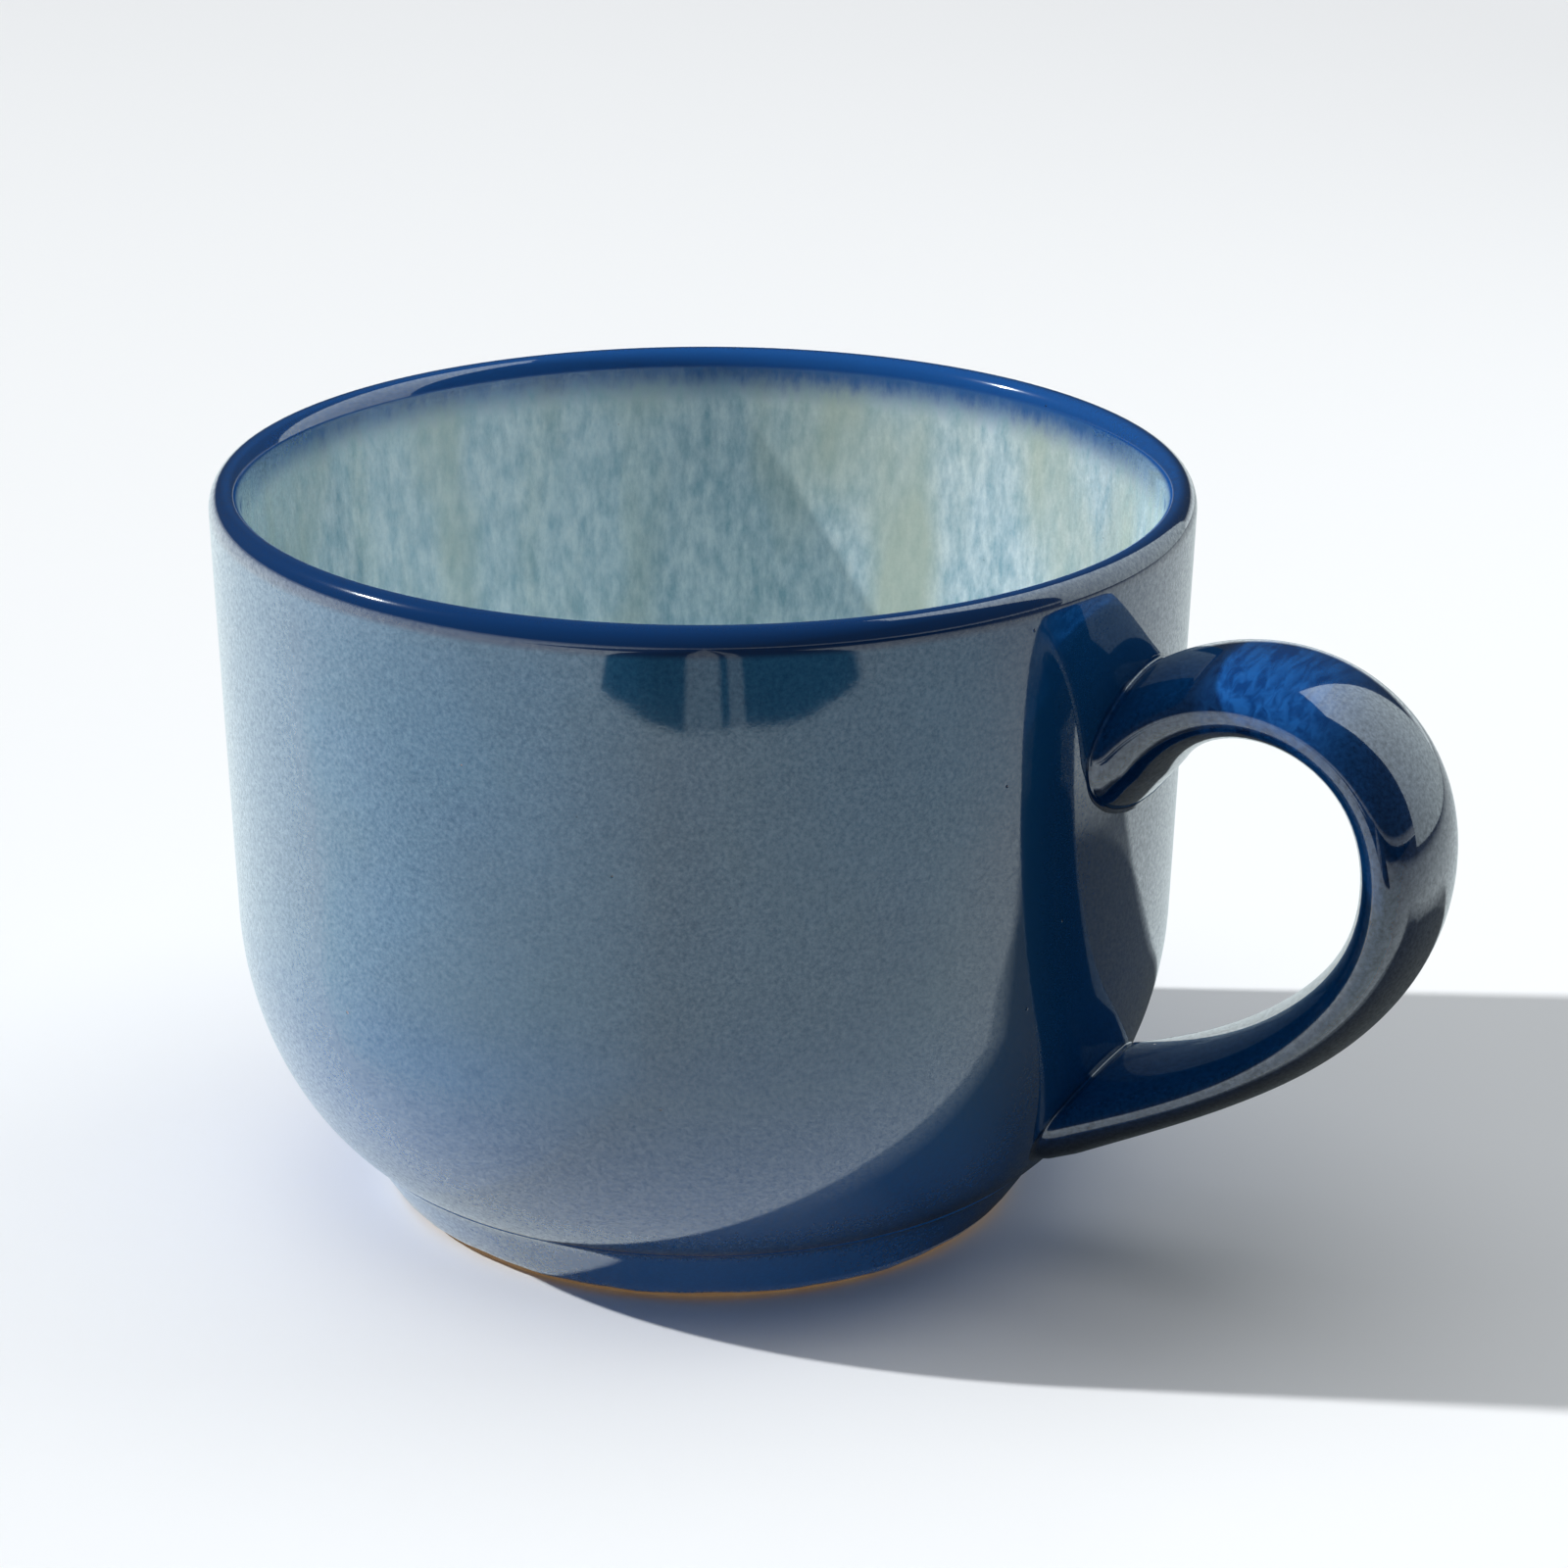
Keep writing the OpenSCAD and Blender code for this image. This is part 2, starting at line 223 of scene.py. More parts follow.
def clay_material(name, pale, dark, grain):
    """Fired unglazed clay: two buff tones in fine grain with iron specks, quite matt."""
    cloud_size, speck_size, speck_ends, speck_tones = 6, 2.5, (0.05, 0.16), (0.55, 1.0)
    grain_depth, grain_strength, rough_ends = 0.06 * mm, 0.6, (0.72, 0.92)
    material, add = shader_tree(name)
    place = add("TexCoord").outputs["Object"]
    cloud = noise(add, place, grain / cloud_size, 3)
    fine = noise(add, place, grain, 6, Roughness=0.7)
    tone = blend(add, cloud, linear(*pale), linear(*dark))
    speck = add("TexVoronoi", {"Vector": place, "Scale": grain / speck_size})
    speck_tone = step(add, speck.outputs["Distance"], speck_ends, speck_tones)
    colour = add("Mix", {"Factor": 1.0, 6: tone, 7: speck_tone}, data_type="RGBA",
                 blend_type="MULTIPLY").outputs[2]
    shader = add("BsdfPrincipled", {
        "Base Color": colour, "Roughness": step(add, fine, (0, 1), rough_ends), "IOR": 1.5,
        "Normal": bump(add, fine, grain_depth, grain_strength)})
    add("OutputMaterial", {"Surface": shader.outputs[0]})
    return material


bare_clay = clay_material("bare_buff_clay", clay_pale, clay_dark, clay_grain)
bowl_piece.data.materials.append(bare_clay)
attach(bowl_piece, "root")
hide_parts("stoneware_bowl")


# Handle clay and slip. The ear is cast in the same clay and stuck on leather-hard with
# slip at both ends. All three are under glaze, so they keep the shapes of their solids.
slip_pale, slip_dark, slip_grain = (190, 150, 108), (162, 120, 80), 3400
slip_clay = clay_material("fired_slip_clay", slip_pale, slip_dark, slip_grain)
for node, clay in (("stoneware_handle", bare_clay), ("upper_slip_joint", slip_clay),
                   ("lower_slip_joint", slip_clay)):
    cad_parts[node].data.materials.clear()
    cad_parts[node].data.materials.append(clay)


# Outside glaze. A glossy cobalt glaze about half a millimetre thick, poured over the
# outside. It rolls to a rounded edge above the foot, pools a little in the crease and
# shows fine mottle, a few pin holes and a faint orange peel. The lower wall is brighter
# and bluer, partly from that pooling and partly as painted bounce light from the table.
# Beside the ear and on top of the lip the blue is darker, as painted shade.
glaze_roll, edge_wave_reach = 0.8, 5.0
edge_waves = (3, 0.7, 0.16), (7, 2.1, 0.11), (17, 0.4, 0.07), (41, 0, 0.04)
wall_blues = linear(20, 86, 132), linear(46, 122, 170)
lip_blues = linear(14, 56, 108), linear(34, 92, 160)
# The pooled blue is partly pooled glaze and partly painted bounce light from the table.
wall_milky, pooled_and_bounce_blue = linear(70, 118, 146), linear(20, 106, 196)
# The blue by the ear is painted shade, where the ear shades the wall and shows in it dark.
shade_by_ear_blue, pin_blue = linear(6, 66, 122), linear(8, 18, 36)
cloud_scale, cloud_share, mottle_scale, mottle_rough = 70, 0.35, 1900, 0.7
tone_ends = (0.38, 0.97)
drift_scale, milky_ends, milky_share = 17, (0.4, 0.62), 0.45
# Heights over which the lower wall takes that partly painted bounce light.
pooled_and_bounce_z, pooled_and_bounce_share = (0.048, 0.010), 0.85
# Span across the wall of that painted shade beside the ear.
shade_by_ear_x, shade_by_ear_share = (0.048, 0.057), 0.8
# Heights where the top of the lip is darkened, as painted shade.
lip_top_shade_z = ((mug_h - 3.6) * mm, (mug_h - 2.6) * mm)
pin_scale, pin_reach, pin_height = 150, 0.035, 0.05 * mm
peel_scale, peel_height, grain_height = 130, 0.012 * mm, 0.0012 * mm
body_rough, crisp_rough, soft_rough, soft_share = 0.6, 0.04, 0.14, 0.08
shine_front, shine_power, shine_twice = 0.115, 2.13, 0.3
shine_grain_ends, shine_grain = (0.3, 0.7), (0.82, 1.34)
shine_tint, mirror_ior = (0.80, 0.875, 0.88, 1), 1000


def lifted(clay, thickness):
    """Points of the glaze's surface over each clay point, along the clay's normal."""
    skin = []
    for i, point in enumerate(clay):
        before, after = clay[max(i - 1, 0)], clay[min(i + 1, len(clay) - 1)]
        along = (after - before).normalized()
        skin.append(point + thickness[i] * Vector((along.y, -along.x)))
    return skin


def edge_roll(clay):
    """Glaze thickness that rounds off to nothing at the first point of a run."""
    reach = [0.0]
    for a, b in zip(clay, clay[1:]):
        reach.append(reach[-1] + (b - a).length)
    return [glaze_t * sqrt(max(0.0, 1 - max(0.0, 1 - along / glaze_roll) ** 2))
            for along in reach]


outside_skin = lifted(outside_clay, edge_roll(outside_clay))
outside_bm = turned_mesh(outside_skin + outside_clay[:0:-1])
for vert in outside_bm.verts:
    turn = atan2(vert.co.y, vert.co.x)
    fade = max(0.0, 1 - (vert.co.z / mm - bare_h) / edge_wave_reach)
    wave = sum(depth * sin(count * turn + shift) for count, shift, depth in edge_waves)
    vert.co.z += wave * fade * fade * mm
outside_piece = finish_piece("outside_glaze_coat", outside_bm)


def maths(add, operation, *values):
    return add("Math", dict(enumerate(values)), operation=operation).outputs[0]


def product(add, *values):
    out = values[0]
    for value in values[1:]:
        out = maths(add, "MULTIPLY", out, value)
    return out


def wall_zones(add, place, colour):
    """A milky bloom, a brighter lower wall that is partly pooled glaze and partly painted
    bounce light, and painted shade by the ear and on the lip's top.
    """
    across, _, height = add("SeparateXYZ", {0: place}).outputs
    drift = noise(add, place, drift_scale, 1)
    for value, ends, share, over in ((drift, milky_ends, milky_share, wall_milky),
                                     (height, pooled_and_bounce_z, pooled_and_bounce_share, pooled_and_bounce_blue),
                                     (across, shade_by_ear_x, shade_by_ear_share, shade_by_ear_blue),
                                     (height, lip_top_shade_z, 1.0, lip_blues[0])):
        colour = blend(add, step(add, value, ends, (0.0, share), soft=True), colour, over)
    return colour


def glaze_material(name, blues, *zones):
    """Fired glaze: mottled blue, the colours of its zones, pin holes, peel and shine.

    The shine grows at a slant, and is weaker where one reflection shows another.
    """
    material, add = shader_tree(name)
    place = add("TexCoord").outputs["Object"]
    mottle = noise(add, place, mottle_scale, Roughness=mottle_rough)
    cloud = product(add, noise(add, place, cloud_scale), cloud_share)
    tone = maths(add, "ADD", cloud, mottle)
    colour = blend(add, step(add, tone, tone_ends), *blues)
    for zone in zones:
        colour = zone(add, place, colour)

    pin = add("TexVoronoi", {"Vector": place, "Scale": pin_scale}).outputs["Distance"]
    pin_level = step(add, pin, (0.0, pin_reach))
    colour = blend(add, pin_level, pin_blue, colour)
    normal = bump(add, noise(add, place, peel_scale), peel_height)
    normal = bump(add, mottle, grain_height, Normal=normal)
    normal = bump(add, pin_level, pin_height, Normal=normal)

    body = add("BsdfPrincipled", {"Base Color": colour, "Roughness": body_rough,
                                  "Specular IOR Level": 0.0, "Normal": normal})
    crisp, soft = [add("BsdfPrincipled", {"Base Color": colour, "Roughness": roughness,
                                          "IOR": mirror_ior, "Normal": normal,
                                          "Specular Tint": shine_tint})
                   for roughness in (crisp_rough, soft_rough)]
    gloss = add("MixShader", {0: soft_share, 1: crisp.outputs[0], 2: soft.outputs[0]})
    facing = add("LayerWeight", {"Blend": 0.5, "Normal": normal}).outputs["Facing"]
    slant = maths(add, "POWER", facing, shine_power)
    twice = add("LightPath").outputs["Is Glossy Ray"]
    shine = product(add, step(add, slant, (0, 1), (shine_front, 1.0)),
                    step(add, twice, (0, 1), (1.0, shine_twice)),
                    step(add, mottle, shine_grain_ends, shine_grain))
    glazed = add("MixShader", {0: shine, 1: body.outputs[0], 2: gloss.outputs[0]})
    add("OutputMaterial", {"Surface": glazed.outputs[0]})
    return material


outside_blue = glaze_material("outside_cobalt_glaze", wall_blues, wall_zones)
outside_piece.data.materials.append(outside_blue)
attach(outside_piece, "root")
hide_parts("outside_glaze")


# Handle glaze. The same pour runs over the ear and over the slip at its two roots, where
# it fills the corner with the wall in a small hollow curve. On top of the ear a brighter,
# combed blue is painted where the key light falls, as painted sunlight, and the rest of
# the ear is a darker blue than the wall, as painted shade.
rim_r, handle_reach = 60.0, 32.8
upper_root_z, lower_root_z, bow_z = mug_h - 23.2, 20.1, mug_h - 34.4
upper_rise, lower_rise = radians(51.5), radians(23)
upper_pull, bow_upper_pull, bow_lower_pull, lower_pull = 0.367, 0.408, 0.458, 0.249
strap_thick, strap_wide = (9.6, 6.5), (19.8, 19.3)
upper_flare_t, upper_flare_w, upper_flare_l = 1.4, 4.4, 17.0
lower_flare_t, lower_flare_w, lower_flare_l = 3.2, 3.8, 28.0
slip_t, slip_bead_w, bead_tuck = 0.9, 1.3, 0.05
handle_sides, handle_rings, bead_steps, wall_tries = 72, 150, 10, 26
upper_search, lower_search, end_turn_share = (-0.5, 0.6), (2.5, 1.4), 0.42
handle_merge_gap = 0.001 * mm
# The ear's blues are darker than the wall's, as painted shade.
handle_shaded_blues = linear(3, 36, 74), linear(14, 66, 122)
# The crest blues are painted sunlight on the top of the ear.
sunlit_patch_blues = linear(8, 62, 126), linear(28, 94, 168)
comb_stretch, comb_scale, comb_twist, comb_ends = (1, 0.2, 1), 900, 0.6, (0.34, 0.62)
sunlit_near_x, sunlit_far_x, sunlit_z = (0.0685, 0.0715), (0.0885, 0.0805), (0.058, 0.068)
clay_outline = [(p.y, p.x) for p in outside_clay]
skin_outline = [(p.y, p.x) for p in outside_skin]


def radius_at(outline, z):
    """Radius of an outline at a height, between its two nearest points."""
    for (z0, r0), (z1, r1) in zip(outline, outline[1:]):
        if z0 <= z <= z1:
            return r0 + (r1 - r0) * (z - z0) / (z1 - z0)
    return outline[0][1] if z < outline[0][0] else outline[-1][1]


def wall_radius(z, lift):
    clay = radius_at(clay_outline, z)
    return clay + (radius_at(skin_outline, z) - clay) * lift / glaze_t


def on_wall(y, z, lift):
    return Vector((sqrt(wall_radius(z, lift) ** 2 - y * y), y, z))


handle_span = upper_root_z - lower_root_z
upper_root = Vector((wall_radius(upper_root_z, 0), upper_root_z))
lower_root = Vector((wall_radius(lower_root_z, 0), lower_root_z))
upper_way = Vector((cos(upper_rise), sin(upper_rise)))
lower_way = Vector((cos(lower_rise), sin(lower_rise)))
bow = Vector((rim_r + handle_reach, bow_z))
upper_curve = [upper_root, upper_root + upper_pull * handle_span * upper_way,
               bow + Vector((0, bow_upper_pull * handle_span)), bow]
lower_curve = [bow, bow - Vector((0, bow_lower_pull * handle_span)),
               lower_root + lower_pull * handle_span * lower_way, lower_root]


def curve_at(c, t):
    return ((1 - t) ** 3 * c[0] + 3 * (1 - t) ** 2 * t * c[1] + 3 * (1 - t) * t * t * c[2]
            + t ** 3 * c[3])


def curve_slope(c, t):
    return (3 * (1 - t) ** 2 * (c[1] - c[0]) + 6 * (1 - t) * t * (c[2] - c[1])
            + 3 * t * t * (c[3] - c[2]))


def line_at(t):
    """The strap's middle line: upper curve from 0 to 1, lower to 2, straight beyond."""
    if t < 0:
        return upper_root + t * curve_slope(upper_curve, 0)
    if t <= 1:
        return curve_at(upper_curve, t)
    if t <= 2:
        return curve_at(lower_curve, t - 1)
    return lower_root + (t - 2) * curve_slope(lower_curve, 1)


def line_slope(t):
    return (curve_slope(upper_curve, max(t, 0)) if t <= 1
            else curve_slope(lower_curve, min(t - 1, 1)))


def flare(distance, length):
    return max(0.0, 1 - distance / length) ** 2


def half_sizes(t):
    """Half thickness and half width of the strap at t, with the flare of both roots."""
    up = 1.0 if t < 0 else flare((line_at(t) - upper_root).length, upper_flare_l)
    low = 1.0 if t > 2 else flare((line_at(t) - lower_root).length, lower_flare_l)
    share = min(max(t, 0), 2) / 2
    thick = strap_thick[0] + (strap_thick[1] - strap_thick[0]) * share
    wide = strap_wide[0] + (strap_wide[1] - strap_wide[0]) * share
    return ((thick + upper_flare_t * up + lower_flare_t * low) / 2,
            (wide + upper_flare_w * up + lower_flare_w * low) / 2)


def strap_point(t, angle, grow):
    middle, along = line_at(t), line_slope(t).normalized()
    half_t, half_w = half_sizes(t)
    lift = (half_t + grow) * cos(angle)
    return Vector((middle.x - along.y * lift, (half_w + grow) * sin(angle),
                   middle.y + along.x * lift))


def find_wall(angle, inside_t, outside_t):
    """Where a line along the strap's surface reaches the outer face of the slip."""
    for _ in range(wall_tries):
        middle = (inside_t + outside_t) / 2
        p = strap_point(middle, angle, 0)
        if hypot(p.x, p.y) < wall_radius(p.z, slip_t):
            inside_t = middle
        else:
            outside_t = middle
    return (inside_t + outside_t) / 2


angles = [2 * pi * j / handle_sides for j in range(handle_sides)]
upper_ends = [find_wall(angle, *upper_search) for angle in angles]
lower_ends = [find_wall(angle, *lower_search) for angle in angles]


def turn_share(u):
    return max(0.0, 1 - u / end_turn_share) ** 2


def strap_ring(u, grow):
    """One ring of the strap, turned near its ends to lie along the wall."""
    return [strap_point(2 * u + upper_ends[j] * turn_share(u)
                        + (lower_ends[j] - 2) * turn_share(1 - u), angles[j], grow)
            for j in range(handle_sides)]


def bead_rings(ring):
    """Rings up the hollow curve of the bead, from just under the wall to the strap."""
    middle = Vector(((max(p.y for p in ring) + min(p.y for p in ring)) / 2,
                     (max(p.z for p in ring) + min(p.z for p in ring)) / 2))
    rings = []
    for share in evenly(bead_steps):
        spread = slip_bead_w * (1 - share) ** 2 + glaze_t * sin(pi / 2 * share)
        lift = slip_t * share * share + glaze_t * cos(pi / 2 * share)
        if share == 0:
            lift -= bead_tuck
        row = []
        for p in ring:
            flat = Vector((p.y, p.z))
            outer = flat + spread * (flat - middle).normalized()
            row.append(on_wall(outer.x, outer.y, lift))
        rings.append(row)
    return rings


handle_rows = bead_rings(strap_ring(0, 0))
handle_rows += [strap_ring(k / handle_rings, glaze_t) for k in range(1, handle_rings)]
handle_rows += bead_rings(strap_ring(1, 0))[::-1]
handle_bm = bmesh.new()
bmesh.ops.create_grid(handle_bm, x_segments=len(handle_rows) - 1, y_segments=handle_sides,
                      size=1)
for vert in handle_bm.verts:
    row = round((vert.co.x + 1) / 2 * (len(handle_rows) - 1))
    side = round((vert.co.y + 1) / 2 * handle_sides) % handle_sides
    vert.co = handle_rows[row][side] * mm
bmesh.ops.remove_doubles(handle_bm, verts=handle_bm.verts[:], dist=handle_merge_gap)
bmesh.ops.recalc_face_normals(handle_bm, faces=handle_bm.faces[:])
handle_piece = finish_piece("handle_glaze_coat", handle_bm)
coat = handle_piece.modifiers.new("glaze_thickness", "SOLIDIFY")
coat.thickness = glaze_t * mm
coat.offset = -1


def stretched(add, place, stretch):
    return add("VectorMath", {0: place, 1: stretch}, operation="MULTIPLY").outputs[0]


def painted_sunlit_crest(add, place, colour):
    """Painted sunlight: a brighter, combed blue on the top of the ear where the key light
    falls.
    """
    across, _, height = add("SeparateXYZ", {0: place}).outputs
    combed = noise(add, stretched(add, place, comb_stretch), comb_scale,
                   Distortion=comb_twist)
    sunlit_blue = blend(add, step(add, combed, comb_ends), *sunlit_patch_blues)
    in_sunlit_patch = product(add, step(add, across, sunlit_near_x, soft=True),
                       step(add, across, sunlit_far_x, soft=True),
                       step(add, height, sunlit_z, soft=True))
    return blend(add, in_sunlit_patch, colour, sunlit_blue)


handle_blue = glaze_material("handle_cobalt_glaze", handle_shaded_blues, painted_sunlit_crest)
handle_piece.data.materials.append(handle_blue)
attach(handle_piece, "root")
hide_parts("handle_glaze")


# Rim glaze. The outside's pour carries on over the rolled lip in one even coat, brightens
# over the brink, and breaks to the pale inside glaze in ragged streaks.
brink_blue, pale_deep = linear(26, 82, 150), linear(150, 184, 199)
pale_light, pale_warm = linear(226, 239, 243), linear(190, 198, 176)
streak_stretch, streak_scale, streak_rough = (1, 1, 0.4), 620, 0.66
streak_tones, warm_scale, warm_ends, warm_share = (0.32, 0.66), 60, (0.48, 0.7), 0.75
drop_ends, drop_heights = (0.3, 0.7), (-0.8 * mm, 0.8 * mm)
brink_r, inner_r, pale_z = (0.0586, 0.0572), (0.0576, 0.0568), (0.0898, 0.0846)


def even_coat(clay):
    return lifted(clay, [glaze_t] * len(clay)) + clay[::-1]


lip_piece = finish_piece("lip_glaze_coat", turned_mesh(even_coat(lip_clay)))


def break_to_pale(add, place, colour):
    """Brighter blue over the brink, then streaks of pale blue and grey-green."""
    across, along, height = add("SeparateXYZ", {0: place}).outputs
    level = add("CombineXYZ", {0: across, 1: along}).outputs[0]
    radius = add("VectorMath", {0: level}, operation="LENGTH").outputs["Value"]
    runs = stretched(add, place, streak_stretch)
    streak = noise(add, runs, streak_scale, 5, Roughness=streak_rough)
    warm = step(add, noise(add, runs, warm_scale), warm_ends, (0.0, warm_share))
    pale = blend(add, step(add, streak, streak_tones), pale_deep, pale_light)
    pale = blend(add, warm, pale, pale_warm)
    ragged = maths(add, "ADD", height, step(add, streak, drop_ends, drop_heights))
    inside = product(add, step(add, ragged, pale_z, soft=True),
                     step(add, radius, inner_r, soft=True))
    colour = blend(add, step(add, radius, brink_r, soft=True), colour, brink_blue)
    return blend(add, inside, colour, pale)


lip_glaze = glaze_material("lip_breaking_glaze", wall_blues, wall_zones, break_to_pale)
lip_piece.data.materials.append(lip_glaze)
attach(lip_piece, "root")
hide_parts("rim_glaze")


# Inside glaze. A pale reactive glaze that runs down the wall in streaks of blue, grey and
# a warmer grey-green, and settles in a soft mottle on the floor.
inside_piece = finish_piece("inside_glaze_coat", turned_mesh(even_coat(inside_clay)))
inside_glaze = glaze_material("inside_streaked_glaze", lip_blues, break_to_pale)
inside_piece.data.materials.append(inside_glaze)
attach(inside_piece, "root")
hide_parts("inside_glaze")


# Base glaze. The recess under the floor is dipped in the outside's blue as well. The coat
# thins out to a rounded edge just inside the ground ring, which is wiped bare.
base_skin = lifted(base_clay, edge_roll(base_clay[::-1])[::-1])
base_piece = finish_piece("base_glaze_coat", turned_mesh(base_skin + base_clay[::-1],
                                                         loop=False))
base_piece.data.materials.append(outside_blue)
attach(base_piece, "root")
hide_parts("base_glaze")


# Table. One wide sheet of pale matt paint that fills the whole picture. It lies a hair
# below the foot, and throws no light back up at the mug.
table_r, table_steps, table_drop = 6.0, 96, 0.02 * mm
table_paint, table_rough, table_gloss = linear(238, 240, 242), 0.75, 0.2
table_grain, table_grain_height, table_grain_strength = 900, 0.01 * mm, 0.3

floor_bm = bmesh.new()
bmesh.ops.create_circle(floor_bm, cap_ends=True, segments=table_steps, radius=table_r,
                        matrix=Matrix.Translation((0, 0, -table_drop)))
floor_piece = finish_piece("pale_table", floor_bm)
table_white, add = shader_tree("pale_table_paint")
table_noise = noise(add, add("TexCoord").outputs["Object"], table_grain, 3)
table_shader = add("BsdfPrincipled", {
    "Base Color": table_paint, "Roughness": table_rough, "Specular IOR Level": table_gloss,
    "Normal": bump(add, table_noise, table_grain_height, table_grain_strength)})
add("OutputMaterial", {"Surface": table_shader.outputs[0]})
floor_piece.data.materials.append(table_white)
floor_piece.visible_diffuse = False


# Shade film. A thin film just over the table that only mirrors see: painted shade in the
# reflections. It is dark in front, where the studio isn't lit, with two lighter stripes,
# and dark where the mug shades the table at its right. It also dims the mirrored table
# towards the right and far off.
view_turn = radians(29.3)
film_right, film_away, film_z = (-0.30, 3.0), (-6.0, 0.5), 0.002
fade_ends, fade_clear = (-0.12, 0.30), (1.0, 0.42)
far_ends, far_clear = (0.34, 0.5), (1.0, 0.15)
near_ends, near_clear = (-0.36, -0.42), (1.0, 0.06)
shadow_slope, shadow_half, shadow_clear = 0.083, (0.056, 0.050), 0.16
shadow_start, shadow_end = (0.0, 0.03), (0.20, 0.17)
front_ends, front_away, front_edge = (0.03, 0.14), (0.2375, 0.216), (0.001, -0.001)
front_start, front_end, front_clear = (-0.092, -0.088), (0.140, 0.132), 0.03
stripes = (((-0.019, -0.014), (0.016, 0.012), 0.42),
           ((0.020, 0.023), (0.036, 0.033), 0.33))


def view_side(x, y, z):
    """A point or direction given as seen by the camera: right, away and up."""
    return Matrix.Rotation(view_turn, 3, "Z") @ Vector((x, y, z))


def standing_card(name, corner, across, up):
    """A flat card between two edges from one corner, with its UV from 0 to 1."""
    bm = bmesh.new()
    bm.loops.layers.uv.new("UVMap")
    bmesh.ops.create_grid(bm, x_segments=1, y_segments=1, size=1, calc_uvs=True)
    for vert in bm.verts:
        vert.co = view_side(*(corner + across * (vert.co.x + 1) / 2
                              + up * (vert.co.y + 1) / 2))
    card = finish_piece(name, bm)
    card.visible_camera = False
    card.visible_shadow = False
    return card


def window(add, value, start, end, level=1.0):
    """The level between two soft edges of a value, and nothing beyond them."""
    return product(add, step(add, value, start), step(add, value, end), level)


def mix(add, share, under, over):
    return add("Mix", {0: share, 2: under, 3: over}).outputs[0]


film_piece = standing_card("table_shade_card",
                           Vector((film_right[0], film_away[0], film_z)),
                           Vector((film_right[1] - film_right[0], 0, 0)),
                           Vector((0, film_away[1] - film_away[0], 0)))
film_piece.visible_diffuse = False
film_shade, add = shader_tree("table_shade_film")
across, up, _ = add("SeparateXYZ", {0: add("TexCoord").outputs["UV"]}).outputs
right = step(add, across, (0, 1), film_right)
away = step(add, up, (0, 1), film_away)
# The mirrored table dims towards the right, the far right and far off, as painted shade.
table_clear = product(add, step(add, right, fade_ends, fade_clear),
                      step(add, right, far_ends, far_clear),
                      step(add, away, near_ends, near_clear))
off_line = maths(add, "ABSOLUTE", maths(add, "MULTIPLY_ADD", right, shadow_slope, away))
in_shadow = product(add, step(add, off_line, shadow_half),
                    window(add, right, shadow_start, shadow_end))
table_clear = mix(add, in_shadow, table_clear, shadow_clear)
front_line = maths(add, "ADD", away, step(add, right, front_ends, front_away))
in_front = product(add, step(add, front_line, front_edge),
                   window(add, right, front_start, front_end))
for stripe in stripes:
    front_clear = maths(add, "ADD", window(add, right, *stripe), front_clear)
film = add("MixShader", {0: mix(add, in_front, table_clear, front_clear),
                         1: add("BsdfDiffuse", {"Color": (0, 0, 0, 1)}).outputs[0],
                         2: add("BsdfTransparent").outputs[0]})
add("OutputMaterial", {"Surface": film.outputs[0]})
film_piece.data.materials.append(film_shade)


# White board. A tall card at the right that glows by itself, painted light standing for a
# sheet of paper that the key light falls on. It glows a little more towards the top, and
# shows as the broad highlight on the wall and the ear.
board_aim = Vector((0.09, -0.05, 0.0))
board_turn, board_far, board_wide, board_high = radians(27), 0.50, 0.58, 1.6
board_ends, board_levels, board_falls = (0, 0.6), (0.58, 1.42), (1.05, 0.85)
board_colour = (0.94, 0.99, 1.0, 1)
board_out = Vector((cos(board_turn), sin(board_turn), 0))
board_side = Vector((-sin(board_turn), cos(board_turn), 0))

white_board = standing_card("white_board",
                            board_aim + board_far * board_out
                            - board_wide / 2 * board_side,
                            board_wide * board_side, Vector((0, 0, board_high)))
board_white, add = shader_tree("glowing_white_board")
across, up, _ = add("SeparateXYZ", {0: add("TexCoord").outputs["UV"]}).outputs
board_glow = product(add, step(add, up, board_ends, board_levels),
                     step(add, across, (0, 1), board_falls))
board_glow_shader = add("Emission", {"Color": board_colour, "Strength": board_glow})
add("OutputMaterial", {"Surface": board_glow_shader.outputs[0]})
white_board.data.materials.append(board_white)


# Light. A key from the left and a little behind, small enough to throw a clear shadow, a
# soft lamp overhead that no mirror sees, and a dim room around.
key_turn, key_rise, key_width = radians(-4.75), radians(37.3), radians(1.4)
key_energy, key_place = 3.15, (-1, 0.1, 1)
lamp_wide, lamp_high, lamp_radiance = 2.2, 2.0, 1.45
room_positions = 0.02, 0.06
room_colours = (0.38, 0.385, 0.39, 1), (0.03, 0.034, 0.038, 1)


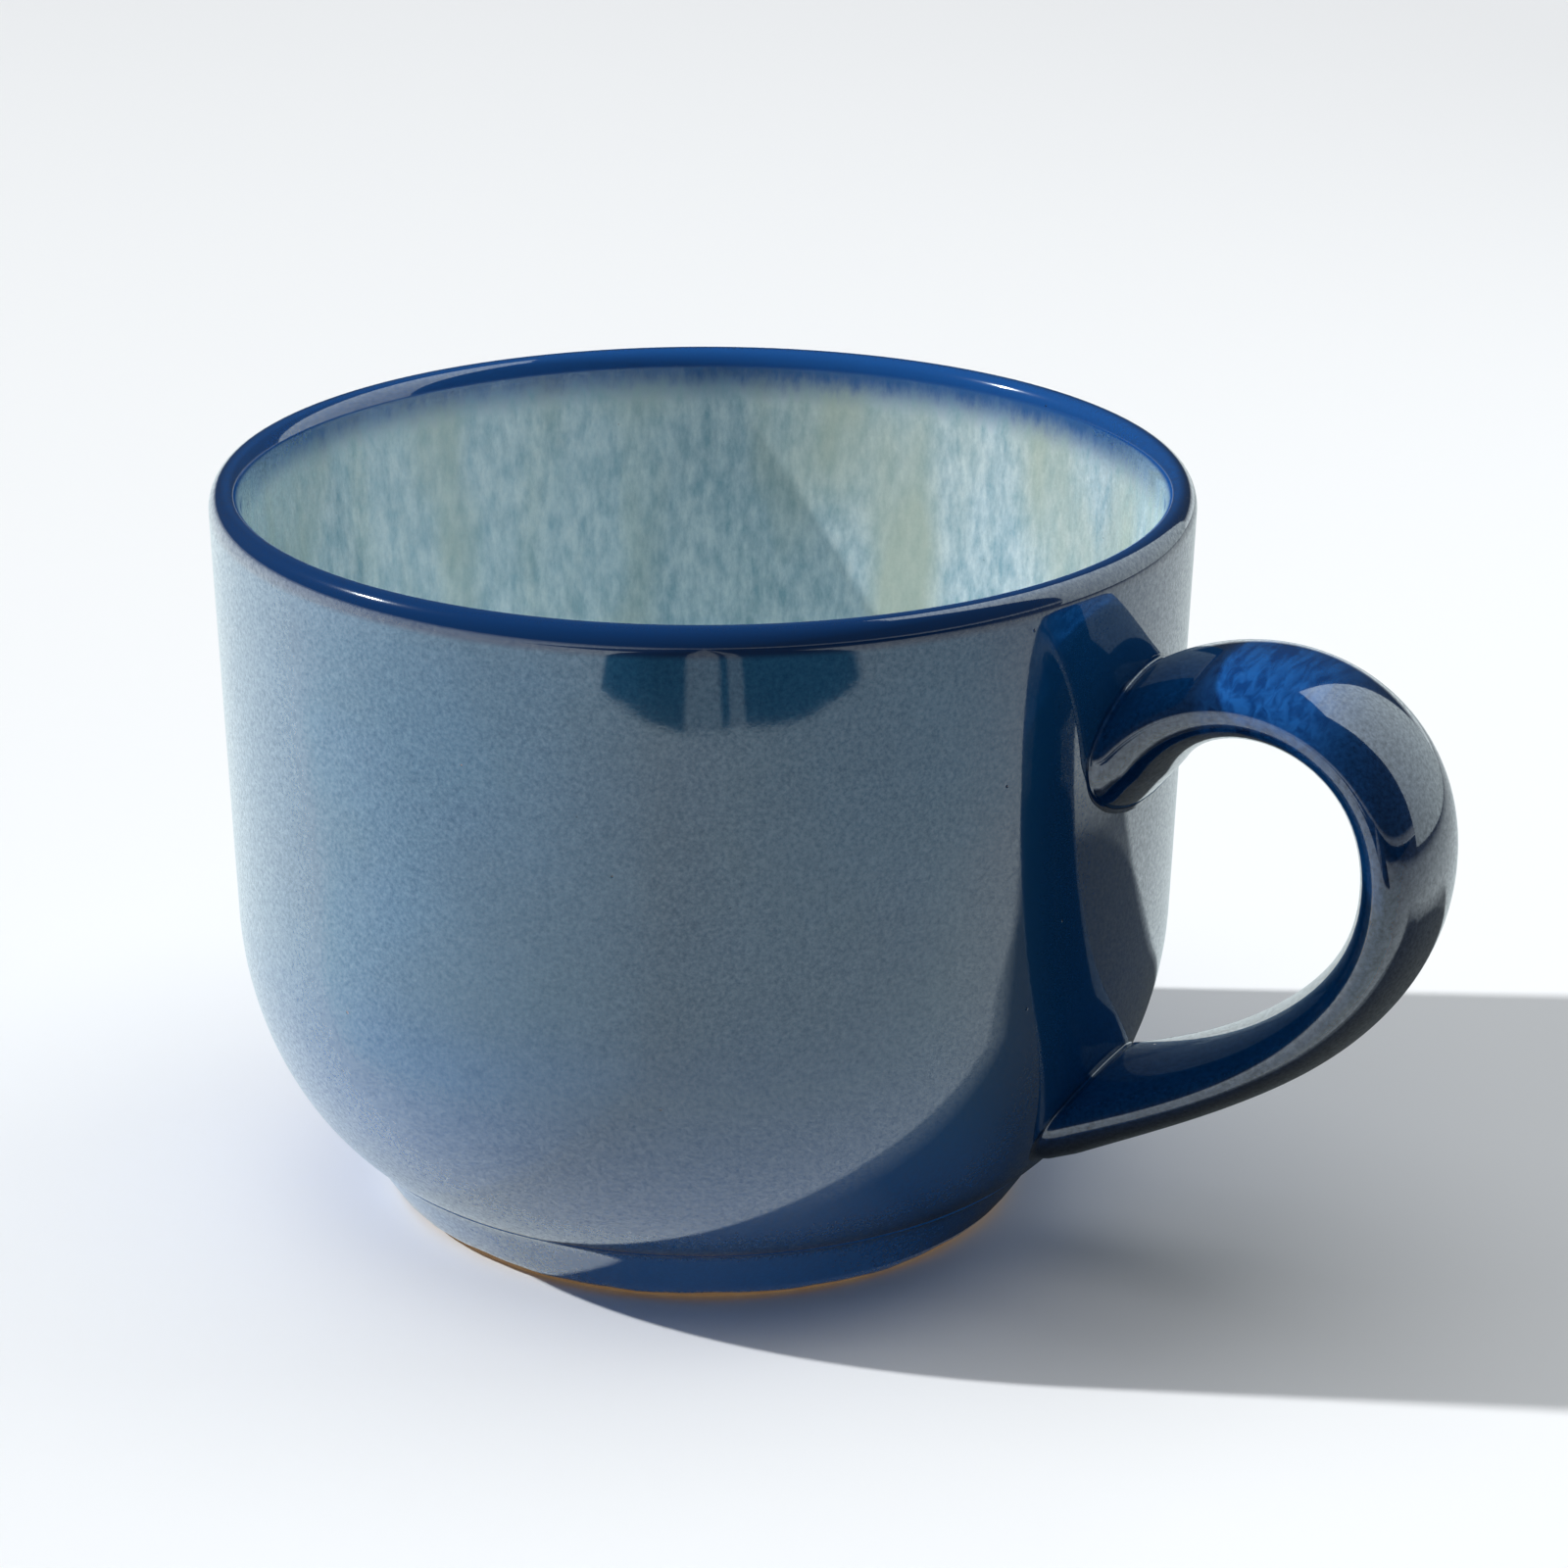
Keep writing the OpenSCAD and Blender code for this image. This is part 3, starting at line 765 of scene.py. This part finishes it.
def hang_lamp(name, lamp, place, facing):
    lamp_object = bpy.data.objects.new(name, lamp)
    collection.objects.link(lamp_object)
    lamp_object.location = place
    lamp_object.rotation_euler = (-facing).to_track_quat("Z", "Y").to_euler()
    return lamp_object


key = bpy.data.lights.new("key_light", "SUN")
key.energy = key_energy
key.angle = key_width
hang_lamp("key_light", key, view_side(*key_place),
          view_side(cos(key_turn) * cos(key_rise), sin(key_turn) * cos(key_rise),
                    -sin(key_rise)))
lamp = bpy.data.lights.new("overhead_lamp", "AREA")
lamp.shape = "RECTANGLE"
lamp.size = lamp.size_y = lamp_wide
lamp.energy = lamp_radiance * pi * lamp_wide * lamp_wide
overhead = hang_lamp("overhead_lamp", lamp, view_side(0, 0, lamp_high),
                     view_side(0, 0, -1))
overhead.visible_camera = False
overhead.visible_glossy = False

world = bpy.data.worlds.new("dim_room")
bpy.context.scene.world = world
world.use_nodes = True
add = node_maker(world.node_tree)
room_height = add("SeparateXYZ", {0: add("TexCoord").outputs["Generated"]}).outputs[2]
ramp = add("ValToRGB", {0: room_height})
for stop, position, colour in zip(ramp.color_ramp.elements, room_positions, room_colours):
    stop.position = position
    stop.color = colour
sky = add("Background", {0: ramp.outputs[0]})
add("OutputWorld", {0: sky.outputs[0]})


# Camera. It stands at the photograph's viewing angle, as fitted to the outlines of the
# rim, the wall and the foot.
camera_distance, camera_aim_z, camera_rise = 0.540, 0.045, radians(21.550)
camera_pitch, camera_yaw, camera_roll = radians(-20.918), radians(1.132), radians(0.24)
camera_sensor, camera_lens = 36, 98.776
camera = bpy.data.cameras.new("camera")
camera.sensor_width = camera_sensor
camera.lens = camera_lens
camera_object = bpy.data.objects.new("camera", camera)
collection.objects.link(camera_object)
camera_object.location = view_side(0, -camera_distance * cos(camera_rise),
                                   camera_aim_z + camera_distance * sin(camera_rise))
camera_object.rotation_euler = (Matrix.Rotation(view_turn - camera_yaw, 3, "Z")
                                @ Matrix.Rotation(pi / 2 + camera_pitch, 3, "X")
                                @ Matrix.Rotation(camera_roll, 3, "Z")).to_euler()
bpy.context.scene.camera = camera_object
bpy.context.scene.view_settings.view_transform = "Standard"
